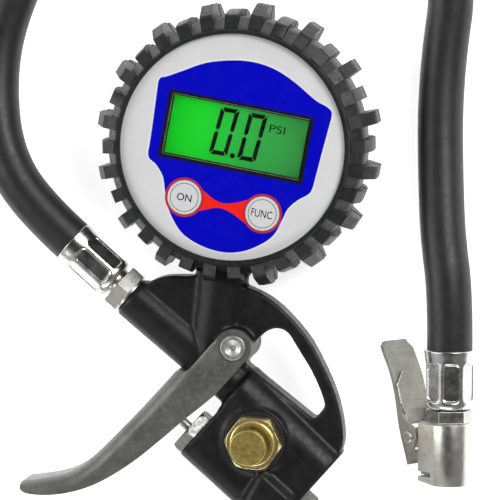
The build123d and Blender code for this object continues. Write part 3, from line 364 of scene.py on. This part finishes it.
ferrule_chrome = plated("ferrule_chrome", (0.54, 0.54, 0.535), (0.78, 0.78, 0.77), (0.18, 0.30), 200, 3800, 0.09)
nut_nickel = plated("nut_nickel", (0.50, 0.49, 0.45), (0.72, 0.71, 0.66), (0.24, 0.36), 300, 3600, 0.25)
pitted = Mat("pitted_zinc", (0.5, 0.5, 0.5), 0.4, 0.8)
pit = pitted.voronoi(900)
pitted.color(pitted.mix(pitted.range(pit, 0.06, 0.2, 0.0, 1.0), (0.10, 0.10, 0.10),
                        pitted.ramp(pitted.noise(500, 4, 0.7), [(0.3, (0.21, 0.21, 0.204)), (0.7, (0.37, 0.37, 0.36))])))
pitted.roughness(pitted.range(pitted.noise(900, 3), 0.3, 0.7, 0.32, 0.52))
pitted.bump(pitted.range(pit, 0.05, 0.25, 0.0, 1.0), 0.5, 0.00012)
chuck_nickel = plated("chuck_nickel", (0.64, 0.635, 0.585), (0.78, 0.77, 0.72), (0.26, 0.36), 260, 1900, 0.9)
chuck_nickel.bump(chuck_nickel.noise(700, 1, 0.5), 0.25, 0.00006)
clip_nickel = Mat("clip_nickel", (0.6, 0.58, 0.5), 0.34, 0.85)
clip_spot = clip_nickel.noise(1100, 5, 0.8)
clip_nickel.color(clip_nickel.mix(clip_nickel.range(clip_spot, 0.56, 0.66, 0.0, 0.75),
                                  clip_nickel.ramp(clip_nickel.noise(150, 4, 0.6), [(0.3, (0.30, 0.297, 0.262)), (0.7, (0.42, 0.415, 0.368))]), (0.16, 0.155, 0.14)))
clip_nickel.roughness(clip_nickel.range(clip_nickel.noise(600, 3), 0.3, 0.7, 0.42, 0.58))
clip_nickel.bump(clip_spot, 0.25, 0.00006)
rivet_steel = plated("rivet_steel", (0.50, 0.50, 0.49), (0.78, 0.78, 0.77), (0.36, 0.50), 380, 3200, 0.3)
brass = plated("brass", (0.92, 0.75, 0.32), (1.0, 0.87, 0.48), (0.28, 0.40), 320, 3600, 0.14)
turned(brass, 22.8, -87.0)
brass_dull = plated("brass_face", (0.42, 0.335, 0.095), (0.62, 0.505, 0.175), (0.40, 0.54), 420, 3000, 0.2)
turned(brass_dull, 22.8, -87.0, 12000.0, 0.2)
steel = plated("screw_steel", (0.4, 0.4, 0.4), (0.58, 0.58, 0.58), (0.3, 0.4), 500, 3000, 0.2)

case_plastic = Mat("black_plastic", (0.02, 0.02, 0.021), 0.5)
case_plastic.color(case_plastic.ramp(case_plastic.noise(300, 3), [(0.3, (0.016, 0.016, 0.017)), (0.7, (0.024, 0.024, 0.025))]))
case_plastic.bump(case_plastic.noise(2600, 2), 0.25, 0.00006)
dial_plastic = Mat("grey_plastic", (0.66, 0.67, 0.68), 0.42)
dial_plastic.color(dial_plastic.ramp(dial_plastic.noise(120, 3), [(0.3, (0.725, 0.725, 0.73)), (0.7, (0.775, 0.775, 0.775))]))
dial_plastic.bump(dial_plastic.noise(3000, 2), 0.10, 0.00004)


def print_ink(name, rgb, rough=0.3, spec=0.25):
    k = Mat(name, rgb, rough, spec=spec)
    dark = tuple(c * 0.93 for c in rgb)
    k.color(k.ramp(k.noise(900, 3), [(0.35, dark), (0.65, rgb)]))
    k.roughness(k.range(k.noise(400, 3), 0.3, 0.7, rough * 0.85, rough * 1.15))
    return k


ink_blue = print_ink("ink_blue", (0.0005, 0.001, 0.56), 0.42, 0.12)
ink_red = print_ink("ink_red", (0.98, 0.022, 0.010), 0.4, 0.15)
ink_rim = print_ink("ink_rim", (0.56, 0.030, 0.050), 0.4)
ink_white = print_ink("ink_white", (0.86, 0.87, 0.88))
ink_black = print_ink("ink_black", (0.010, 0.010, 0.012))
ink_grey = print_ink("ink_grey", (0.10, 0.10, 0.12))
key_plastic = print_ink("button_plastic", (0.74, 0.74, 0.75), 0.3)

display = Mat("display", (0.02, 0.1, 0.03), 0.25)
sx = display.xyz()
glow = display.range(sx[0], -0.021, 0.022, 0.0, 1.0)
wob = display.noise(60, 2, 0.5)
glow2 = display.math("ADD", glow, display.math("MULTIPLY", wob, 0.12))
green = display.ramp(glow2, [(0.0, (0.006, 0.42, 0.012)), (0.30, (0.010, 0.50, 0.020)), (0.52, (0.022, 0.36, 0.045)), (0.8, (0.030, 0.27, 0.050)), (1.0, (0.030, 0.21, 0.045))])
display.color(green)
display.link(green, display.b.inputs["Emission Color"])
display.b.inputs["Emission Strength"].default_value = 0.55

window = Mat("clear_window", (0.95, 0.98, 0.95), 0.04, spec=0.5)
window.b.inputs["Transmission Weight"].default_value = 1.0
window.b.inputs["IOR"].default_value = 1.05
window.roughness(window.range(window.noise(300, 2), 0.3, 0.7, 0.02, 0.06))

board = Mat("board", (0.02, 0.12, 0.04), 0.4)
board.color(board.ramp(board.noise(500, 2), [(0.4, (0.015, 0.10, 0.03)), (0.6, (0.03, 0.15, 0.05))]))
cells = Mat("cells", (0.05, 0.05, 0.06), 0.35, 0.6)
cells.color(cells.ramp(cells.range(cells.xyz()[0], -0.02, 0.02, 0, 1), [(0.2, (0.5, 0.32, 0.08)), (0.25, (0.03, 0.03, 0.035))]))
lightguide = Mat("green_light", (0.3, 0.8, 0.3), 0.4)
lightguide.color(lightguide.ramp(lightguide.noise(200, 2), [(0.4, (0.25, 0.7, 0.25)), (0.6, (0.35, 0.85, 0.35))]))

paint(boot_rubber.m, "rubber_boot")
paint(washer_rubber.m, "bleed_washer")
paint(seal_rubber.m, "stem_oring", "gland_oring", "plug_oring", "bleed_seal", "valve_washer", "chuck_seal")
paint(case_plastic.m, "gauge_case", "battery_door")
paint(dial_plastic.m, "dial_plate")
paint(key_plastic.m, "button_on", "button_func")
paint(window.m, "lcd_window")
paint(display.m, "lcd_module")
paint(lightguide.m, "backlight")
paint(board.m, "circuit_board")
paint(steel.m, "tact_switches", "battery_contacts", "pressure_sensor", "door_screw", "case_screws", "valve_spring", "bleed_spring")
paint(ferrule_chrome.m, "chuck_spring")
paint(cells.m, "batteries")
paint(casting.m, "body")
paint(lever_steel.m, "trigger_lever")
paint(rivet_steel.m, "trigger_pin", "valve_stem")
paint(pitted.m, "gland_nut", "valve_plug")
paint(nut_nickel.m, "inlet_fitting", "hose_fitting", "chuck_stem")
paint(brass.m, "bleed_body", "gauge_stem", "chuck_depressor")
paint(brass_dull.m, "bleed_button")
paint(ferrule_chrome.m, "gun_ferrule", "chuck_ferrule")
paint(chuck_nickel.m, "chuck_body")
paint(clip_nickel.m, "chuck_lever", "chuck_jaw")
paint(nut_nickel.m, "chuck_pin")

# ---------------------------------------------------------------------------
# hose
# ---------------------------------------------------------------------------
ROUTE = [gun_point(-24.5, 0), gun_point(-42.3, 0), (-72.2, -16.5, 13.3), (-78.4, 1.5, 9.8), (-80.0, 19.4, 7.6),
         (-75.8, 40.8, 7.0), (-67.8, 62.9, 7.0), (-55.4, 82.8, 7.0), (-38.1, 98.4, 7.0), (-16.4, 106.9, 7.0),
         (7.1, 106.4, 7.0), (28.6, 97.2, 7.0), (45.4, 80.7, 7.0), (54.6, 59.3, 7.0), (55.6, 38.5, 7.4), (58.0, 20.5, 9.2),
         (62.0, 2.5, 12.2), (66.4, -15.0, 16.2), chuck_point(-17.0, 0), chuck_point(0.0, 0)]
hc = bpy.data.curves.new("rubber_hose", "CURVE")
hc.dimensions = "3D"
sp = hc.splines.new("NURBS")
sp.points.add(len(ROUTE) - 1)
for k, p in enumerate(ROUTE):
    sp.points[k].co = (*m(p), 1)
sp.order_u = 3
sp.use_endpoint_u = True
sp.resolution_u = 12
hc.bevel_depth = 6.9 * MM
hc.bevel_resolution = 8
hc.use_fill_caps = True
hose = link(bpy.data.objects.new("rubber_hose", hc))
hc.materials.append(hose_rubber.m)
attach(hose, "main")
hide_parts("hose")

# ---------------------------------------------------------------------------
# carried-over nodes: soft edges
# ---------------------------------------------------------------------------
for name, width in (("rubber_boot", 0.22), ("trigger_lever", 0.35), ("bleed_body", 0.12), ("bleed_button", 0.0), ("gland_nut", 0.35),
                    ("valve_plug", 0.4), ("inlet_fitting", 0.4), ("hose_fitting", 0.35), ("chuck_stem", 0.35), ("chuck_body", 0.45),
                    ("chuck_lever", 0.3), ("chuck_jaw", 0.2), ("trigger_pin", 0.15),
                    ("bleed_washer", 0.2), ("dial_plate", 0.15), ("button_on", 0.0), ("button_func", 0.0), ("battery_door", 0.2),
                    ("gauge_case", 0.3)):
    finish_cad(name, width)

# the casting: edges and inner corners softened as a die leaves them
gun = NODES["body"]
rm = gun.modifiers.new("cast", "REMESH")
rm.mode = "VOXEL"
rm.voxel_size = 0.55 * MM
rm.use_smooth_shade = True
sm = gun.modifiers.new("soft", "SMOOTH")
sm.factor = 0.5
sm.iterations = 9

# ---------------------------------------------------------------------------
# crimped sleeves
# ---------------------------------------------------------------------------
def sleeve(name, place, length, r_mouth, r_body, r_nose, flat, a0, crimp, inner, mat, nphi=336, ns=150):
    """Revolved skin with seven pressed panels; place(s, a, b) gives the point at a, b across the axis."""
    bm = bmesh.new()
    rows = []
    sector = 2 * pi / 7
    half_l = (crimp[1] - crimp[0]) / 2
    mid_l = (crimp[1] + crimp[0]) / 2
    half_w = r_body * sector / 2 - 0.62
    corner = 1.5

    def step(x):
        x = max(0.0, min(1.0, x))
        return x * x * (3 - 2 * x)

    def base(s):
        r = r_body + (r_mouth - r_body) * (1 - step((s - 0.2) / 3.6))
        if s < 0.3:
            r -= 0.3 - sqrt(max(0.0, 0.3 ** 2 - (0.3 - s) ** 2))
        q = (s - (length - 2.4)) / 2.4
        if q > 0:
            r -= (r_body - r_nose) * (1 - sqrt(max(0.0, 1 - q * q)))
        return r

    stations = [length * k / (ns - 1) for k in range(ns)]
    rings = [(0.0, inner[0])] + [(x, None) for x in stations] + [(length, inner[1])]
    for (x, fixed) in rings:
        row = []
        for k in range(nphi):
            a = 2 * pi * k / nphi
            if fixed:
                r = fixed
            else:
                r0 = base(x)
                d = (a - a0 + sector / 2) % sector - sector / 2
                qx = abs(x - mid_l) - (half_l - corner)
                qy = abs(d * r_body) - (half_w - corner)
                sd = hypot(max(qx, 0.0), max(qy, 0.0)) + min(max(qx, qy), 0.0) - corner
                w = step(0.5 - sd / 0.95)
                floor_r = min(r0, flat / cos(d))
                r = r0 * (1 - w) + floor_r * w + 0.07 * (1 - abs(2 * w - 1)) * (1 if sd > 0 else 0)
            row.append(bm.verts.new(m(place(x, r * cos(a), r * sin(a)))))
        rows.append(row)
    for i in range(len(rows) - 1):
        for k in range(nphi):
            bm.faces.new((rows[i][k], rows[i][(k + 1) % nphi], rows[i + 1][(k + 1) % nphi], rows[i + 1][k]))
    o = from_bm(bm, name, mat, smooth=False)
    smooth_by_angle(o.data, 50)
    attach(o, "main")
    return o


gun_sleeve = sleeve("gun_sleeve", lambda x, a, b: gun_point(-24.5 + x, a, b), 18.1, 7.1, 6.75, 5.5, 6.05, pi / 2, (4.2, 15.9), (5.6, 3.4), ferrule_chrome.m)
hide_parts("gun_ferrule")
chuck_sleeve = sleeve("chuck_sleeve", lambda x, a, b: chuck_point(x, a, b), 18.0, 7.75, 7.35, 5.9, 6.6, radians(34.5), (4.0, 15.4), (5.6, 3.4), ferrule_chrome.m)
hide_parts("chuck_ferrule")


# ---------------------------------------------------------------------------
# spring under the release button, with a mesh of its own
# ---------------------------------------------------------------------------
def coil(name, cx, cy, z0, height, radius, wire, turns, mat, steps=48, sides=10):
    bm = bmesh.new()
    n = int(steps * turns)
    rows = []
    for i in range(n + 1):
        a = 2 * pi * turns * i / n
        out = Vector((cos(a), sin(a), 0))
        along = Vector((-radius * sin(a), radius * cos(a), height / (2 * pi * turns))).normalized()
        up = out.cross(along)
        c = Vector((cx, cy, z0 + height * i / n)) + out * radius
        rows.append([bm.verts.new(m(tuple(c + out * (wire * cos(2 * pi * k / sides)) + up * (wire * sin(2 * pi * k / sides))))) for k in range(sides)])
    for i in range(n):
        for k in range(sides):
            bm.faces.new((rows[i][k], rows[i][(k + 1) % sides], rows[i + 1][(k + 1) % sides], rows[i + 1][k]))
    bm.faces.new(rows[0][::-1])
    bm.faces.new(rows[-1])
    bmesh.ops.recalc_face_normals(bm, faces=bm.faces)
    o = from_bm(bm, name, mat, smooth=False)
    smooth_by_angle(o.data, 50)
    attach(o, "main")
    return o


bleed_coil = coil("bleed_coil", 22.8, -87.0, 26.6, 3.2, 3.4, 0.35, 2.5, steel.m)
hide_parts("bleed_spring")
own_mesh(bleed_coil)

# ---------------------------------------------------------------------------
# dial print
# ---------------------------------------------------------------------------
FIELD = [(-25.66, 13.4), (-25.72, 15.1), (-25.2, 16.45), (-23.4, 17.2), (-18.9, 19.8), (-12.3, 23.5), (-4.3, 25.8), (1.9, 26.4), (7.2, 25.8), (11.6, 24.4),
         (16.2, 22.2), (22.1, 18.8), (25.6, 17.6), (27.4, 16.5), (27.85, 14.9), (27.7, 12.8), (27.45, 9.6), (27.15, 5.6), (26.85, 1.6), (26.6, -2.0), (26.4, -4.8), (26.2, -7.2), (25.4, -9.3), (22.6, -11.7),
         (20.1, -14.8), (18.9, -18.7), (17.5, -23.1), (14.9, -26.3), (10.3, -29.6), (5.4, -31.4), (0.2, -31.7), (-5.3, -30.7), (-9.9, -28.7),
         (-13.1, -25.7), (-16.0, -21.5), (-17.8, -16.6), (-19.2, -12.7), (-21.9, -9.6), (-24.1, -8.3), (-24.85, -6.7), (-24.9, -4.4), (-25.0, -1.0), (-25.15, 3.0), (-25.35, 7.0), (-25.52, 10.6)]
field = smooth_ring(FIELD, 8)


def grow(ring, d):
    """Ring pushed outwards by d along its own normals."""
    out = []
    n = len(ring)
    for i in range(n):
        ax, ay = ring[i - 1]
        bx, by = ring[(i + 1) % n]
        tx, ty = bx - ax, by - ay
        l = hypot(tx, ty)
        out.append((ring[i][0] + d * ty / l, ring[i][1] - d * tx / l))
    return out


def box_ring(x0, y0, x1, y1):
    return [(x0, y0), (x1, y0), (x1, y1), (x0, y1)]


DZ = 28.6
KEYS = ((-11.5, -17.7), (12.7, -17.9))
WIN = box_ring(0.45 - 22.3, 3.3 - 10.3, 0.45 + 22.3, 3.3 + 10.3)
key_holes = [circle(x, y, 5.26) for x, y in KEYS]
prints = []
white_edge = prism(grow(field, 0.38), DZ, DZ + 0.07, "label_edge", ink_white.m, holes=(grow(field, -0.6),))
blue_field = prism(field, DZ, DZ + 0.11, "label_field", ink_blue.m, holes=[WIN] + [circle(x, y, 5.30) for x, y in KEYS])
BOW = [(-9.8, -12.4), (-7.0, -14.1), (-4.0, -15.8), (-2.0, -16.7), (0.5, -17.1), (4.0, -16.3), (8.0, -14.4), (10.8, -12.7),
       (10.8, -23.4), (8.0, -21.8), (4.0, -19.8), (0.5, -18.8), (-2.0, -19.1), (-4.0, -19.9), (-7.0, -21.2), (-9.8, -23.0)]


def bow_outline():
    """Band between the keys, cut back to the ring of each key."""
    def inside(p):
        return all(hypot(p[0] - x, p[1] - y) > 5.32 for x, y in KEYS)
    top = smooth_open(BOW[:8], 8)
    low = smooth_open(BOW[8:], 8)
    left = [(KEYS[0][0] + 5.32 * cos(radians(a)), KEYS[0][1] + 5.32 * sin(radians(a))) for a in range(-64, 65, 4)]
    right = [(KEYS[1][0] + 5.32 * cos(radians(a)), KEYS[1][1] + 5.32 * sin(radians(a))) for a in range(116, 245, 4)]
    return [q for q in top if inside(q)] + right + [q for q in low if inside(q)] + left


def smooth_open(points, per=6):
    out = []
    for i in range(len(points) - 1):
        p0 = points[max(i - 1, 0)]
        p1, p2 = points[i], points[i + 1]
        p3 = points[min(i + 2, len(points) - 1)]
        for k in range(per):
            u = k / per
            out.append(tuple(0.5 * (2 * p1[j] + (p2[j] - p0[j]) * u + (2 * p0[j] - 5 * p1[j] + 4 * p2[j] - p3[j]) * u * u
                                    + (3 * p1[j] - p0[j] - 3 * p2[j] + p3[j]) * u ** 3) for j in range(2)))
    out.append(points[-1])
    return out


bow = prism(bow_outline(), DZ + 0.02, DZ + 0.125, "label_band", ink_red.m)
rings = []
for k, (x, y) in enumerate(KEYS):
    rings.append(prism(circle(x, y, 5.97), DZ + 0.01, DZ + 0.14, "label_ring_%d" % k, ink_rim.m, holes=(circle(x, y, 5.28),)))
for o in (white_edge, blue_field, bow, *rings):
    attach(o, "main")
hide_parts("dial_label")

# black border of the window and the well under it
border = prism(box_ring(-21.9, -7.0, 22.8, 13.62), DZ - 0.02, DZ + 0.13, "window_border", ink_black.m, holes=(box_ring(-21.15, -5.95, 21.75, 12.85),))
well = prism(box_ring(-20.74, -5.9, 21.64, 12.5), 26.02, 27.38, "window_well", ink_black.m, holes=(box_ring(-20.4, -5.6, 21.3, 12.2),))
for o in (border, well):
    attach(o, "main")


def seven_segment(tl, tr, bl, br, stroke, gap):
    """Outlines of the lit bars of a nought in a slanted box."""
    def at(u, v):
        top = (tl[0] + (tr[0] - tl[0]) * u, tl[1] + (tr[1] - tl[1]) * u)
        low = (bl[0] + (br[0] - bl[0]) * u, bl[1] + (br[1] - bl[1]) * u)
        return (low[0] + (top[0] - low[0]) * v, low[1] + (top[1] - low[1]) * v)
    w = hypot(tr[0] - tl[0], tr[1] - tl[1])
    h = hypot(tl[0] - bl[0], tl[1] - bl[1])
    a, b = stroke / w, stroke / h
    g, q = gap / w, gap / h
    c = 0.35
    bars = []
    bars.append([(c * a + g, 1), (1 - c * a - g, 1), (1 - a * 0.9 - g, 1 - b), (a * 0.9 + g, 1 - b)])
    bars.append([(c * a + g, 0), (a * 0.9 + g, b), (1 - a * 0.9 - g, b), (1 - c * a - g, 0)])
    for (x0, x1, out) in ((0, a, 1), (1, 1 - a, -1)):
        mid = (x0 + x1) / 2
        bars.append([(x0, 1 - c * b - q), (x0 + (x1 - x0) * 0.15, 1 - c * b * 0.7 - q * 0.9), (x1, 1 - b - q), (x1, 0.5 + b * 0.55 + q), (mid, 0.5 + q * 1.6), (x0, 0.5 + b * 0.45 + q)])
        bars.append([(x0, c * b + q), (x0, 0.5 - b * 0.45 - q), (mid, 0.5 - q * 1.6), (x1, 0.5 - b * 0.55 - q), (x1, b + q), (x0 + (x1 - x0) * 0.15, c * b * 0.7 + q * 0.9)])
    return [[at(u, v) for u, v in bar] for bar in bars]


def flat_shapes(outlines, z0, z1, name, mat):
    bm = bmesh.new()
    for ring in outlines:
        lo = [bm.verts.new(m((x, y, z0))) for x, y in ring]
        hi = [bm.verts.new(m((x, y, z1))) for x, y in ring]
        bm.faces.new(hi)
        bm.faces.new(list(reversed(lo)))
        n = len(ring)
        for i in range(n):
            bm.faces.new((lo[i], lo[(i + 1) % n], hi[(i + 1) % n], hi[i]))
    return from_bm(bm, name, mat, smooth=False)


bars = seven_segment((-5.8, 11.15), (-0.05, 11.25), (-7.15, -3.4), (-1.5, -3.3), 1.3, 0.10)
bars += seven_segment((2.9, 11.15), (8.65, 11.15), (1.65, -3.5), (7.35, -3.4), 1.3, 0.10)
bars.append(circle(0.15, -2.75, 0.78, 24))
digits = flat_shapes(bars, 26.01, 26.07, "digits", ink_black.m)
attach(digits, "main")


def lettering(text, x, y, z, height, width, thick, mat, body, weight=0.0):
    """Plain sans letters as thin solids, with the lower left corner at x, y."""
    c = bpy.data.curves.new("t_" + text, "FONT")
    c.body = text
    c.size = 1.0
    c.extrude = 0.5
    c.offset = weight
    c.resolution_u = 4
    t = link(bpy.data.objects.new("t_" + text, c))
    dg = bpy.context.evaluated_depsgraph_get()
    me = bpy.data.meshes.new_from_object(t.evaluated_get(dg))
    bpy.data.objects.remove(t)
    xs = [v.co.x for v in me.vertices]
    ys = [v.co.y for v in me.vertices]
    x0, x1, y0, y1 = min(xs), max(xs), min(ys), max(ys)
    for v in me.vertices:
        v.co = (((v.co.x - x0) / (x1 - x0) * width + x) * MM, ((v.co.y - y0) / (y1 - y0) * height + y) * MM, (z + (v.co.z + 0.5) * thick) * MM)
    me.name = "letters_" + text
    me.materials.clear()
    me.materials.append(mat)
    o = link(bpy.data.objects.new("letters_" + text, me))
    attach(o, body)
    return o


lettering("PSI", 9.75, 6.45, 26.01, 2.4, 4.8, 0.05, ink_black.m, "main", 0.0)
lettering("ON", -13.75, -18.8, 29.09, 2.2, 4.5, 0.035, ink_black.m, "key_on", 0.004)
lettering("FUNC", 9.35, -19.1, 29.09, 2.35, 6.4, 0.035, ink_black.m, "key_func", 0.0)
for k, (body_name, (x, y)) in enumerate((("key_on", KEYS[0]), ("key_func", KEYS[1]))):
    o = prism(circle(x, y, 4.35), 29.06, 29.13, "key_line_%d" % k, ink_black.m, holes=(circle(x, y, 4.20),))
    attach(o, body_name)

# ---------------------------------------------------------------------------
# floor, light, camera
# ---------------------------------------------------------------------------
bm = bmesh.new()
bmesh.ops.create_grid(bm, x_segments=4, y_segments=4, size=3.0)
floor_mat = Mat("floor", (0.86, 0.86, 0.86), 0.9, spec=0.1)
floor_mat.color(floor_mat.ramp(floor_mat.noise(3, 2), [(0.3, (0.91, 0.91, 0.91)), (0.7, (0.93, 0.93, 0.93))]))
floor_mat.b.inputs["Emission Color"].default_value = (1, 1, 1, 1)
floor_mat.b.inputs["Emission Strength"].default_value = 0.78
floor = from_bm(bm, "floor", floor_mat.m, smooth=False)
floor.location = (0, 0, CAD_BOX[0][2] - 0.0002)

world = bpy.data.worlds.new("studio")
bpy.context.scene.world = world
world.use_nodes = True
wn = world.node_tree
# a light tent: bright walls, a darker opening overhead
wc = wn.nodes.new("ShaderNodeTexCoord")
ws = wn.nodes.new("ShaderNodeSeparateXYZ")
wn.links.new(wc.outputs["Generated"], ws.inputs[0])
wr = wn.nodes.new("ShaderNodeValToRGB")
we = wr.color_ramp.elements
we[0].position, we[0].color = 0.0, (0.9, 0.9, 0.9, 1)
we[1].position, we[1].color = 1.0, (0.05, 0.05, 0.05, 1)
for spot, level in ((0.20, 1.0), (0.66, 1.0), (0.80, 0.8), (0.88, 0.15)):
    e = we.new(spot)
    e.color = (level, level, level, 1)
wn.links.new(ws.outputs[2], wr.inputs[0])
# the wall on the right stands further off
wx = wn.nodes.new("ShaderNodeMapRange")
wx.interpolation_type = "SMOOTHSTEP"
for key, level in (("From Min", 0.1), ("From Max", 0.8), ("To Min", 1.0), ("To Max", 0.45)):
    wx.inputs[key].default_value = level
wn.links.new(ws.outputs[0], wx.inputs["Value"])
wm = wn.nodes.new("ShaderNodeVectorMath")
wm.operation = "SCALE"
wn.links.new(wr.outputs[0], wm.inputs[0])
wn.links.new(wx.outputs["Result"], wm.inputs["Scale"])
wn.links.new(wm.outputs[0], wn.nodes["Background"].inputs["Color"])
wn.nodes["Background"].inputs["Strength"].default_value = 0.42


def area(name, loc, target, size, power, size_y=None, color=(1, 1, 1)):
    l = bpy.data.lights.new(name, "AREA")
    l.shape = "RECTANGLE"
    l.size = size
    l.size_y = size_y or size
    l.energy = power
    l.color = color
    o = link(bpy.data.objects.new(name, l))
    o.location = loc
    d = Vector(target) - Vector(loc)
    o.rotation_euler = d.to_track_quat("-Z", "Y").to_euler()
    return o


area("key", (0.50, 0.55, 0.75), (0, 0, 0), 0.40, 6.5, 0.60)
area("left", (-0.75, -0.10, 0.50), (0, 0, 0), 0.30, 2.8, 0.80)
area("front", (0.05, -0.80, 0.45), (0, -0.05, 0), 0.7, 2.2, 0.25)

cam_data = bpy.data.cameras.new("camera")
cam_data.sensor_fit = "HORIZONTAL"
cam_data.sensor_width = 36.0
cam_data.lens = 36.0 * 4000.0 / 499.0
cam_data.clip_start = 0.05
cam_data.clip_end = 10.0
camera = link(bpy.data.objects.new("camera", cam_data))
R = Matrix(((0.97213, -0.197782, 0.125879), (0.183175, 0.975887, 0.118707), (-0.146322, -0.09234, 0.984918)))
camera.matrix_world = Matrix.Translation((0.162661, 0.113646, 1.216083)) @ R.to_4x4()
bpy.context.scene.camera = camera
bpy.context.scene.view_settings.view_transform = "Standard"
